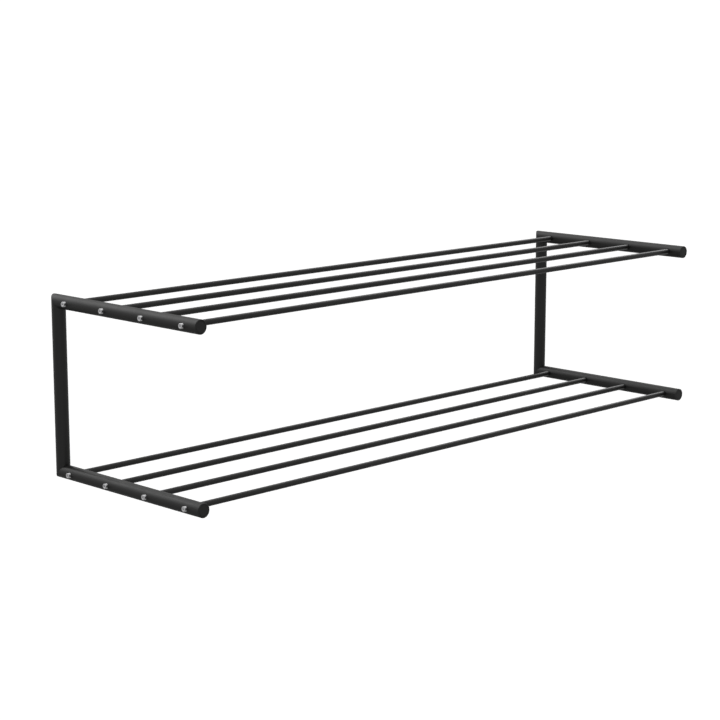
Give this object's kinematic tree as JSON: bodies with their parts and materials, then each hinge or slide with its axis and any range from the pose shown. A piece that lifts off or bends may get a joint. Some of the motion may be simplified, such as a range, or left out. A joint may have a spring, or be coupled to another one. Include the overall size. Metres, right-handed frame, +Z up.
{
  "type": "wall-mounted two-tier rod rack",
  "caption": "Wall-mounted storage rack: two C-shaped mitred tube brackets joined by round rods in two level tiers, held by bright socket-head screws.",
  "frame": {"origin": "centre of the four wall keyholes' round openings, on the wall plane, at mid-span and mid-height of the rack", "axes": "+X along the rods, to the right as seen from the front; +Y into the wall; +Z up. The front of the rack faces -Y"},
  "size_m": [1.028, 0.3, 0.25],
  "materials": {
    "bracket_tube": "satin black powder coat on steel tube",
    "end_plug": "moulded black plastic",
    "rod": "satin black powder coat on solid steel rod",
    "rod_screw": "bright zinc-plated steel"
  },
  "bodies": {
    "root": {"left_upright": "bracket_tube", "right_upright": "bracket_tube", "left_upper_arm": "bracket_tube", "left_lower_arm": "bracket_tube", "right_upper_arm": "bracket_tube", "right_lower_arm": "bracket_tube", "left_upper_end_plug": "end_plug", "left_lower_end_plug": "end_plug", "right_upper_end_plug": "end_plug", "right_lower_end_plug": "end_plug", "upper_rod_1": "rod", "upper_rod_2": "rod", "upper_rod_3": "rod", "upper_rod_4": "rod", "lower_rod_1": "rod", "lower_rod_2": "rod", "lower_rod_3": "rod", "lower_rod_4": "rod", "left_upper_screw_1": "rod_screw", "left_upper_screw_2": "rod_screw", "left_upper_screw_3": "rod_screw", "left_upper_screw_4": "rod_screw", "left_lower_screw_1": "rod_screw", "left_lower_screw_2": "rod_screw", "left_lower_screw_3": "rod_screw", "left_lower_screw_4": "rod_screw", "right_upper_screw_1": "rod_screw", "right_upper_screw_2": "rod_screw", "right_upper_screw_3": "rod_screw", "right_upper_screw_4": "rod_screw", "right_lower_screw_1": "rod_screw", "right_lower_screw_2": "rod_screw", "right_lower_screw_3": "rod_screw", "right_lower_screw_4": "rod_screw"}
  },
  "joints": []
}
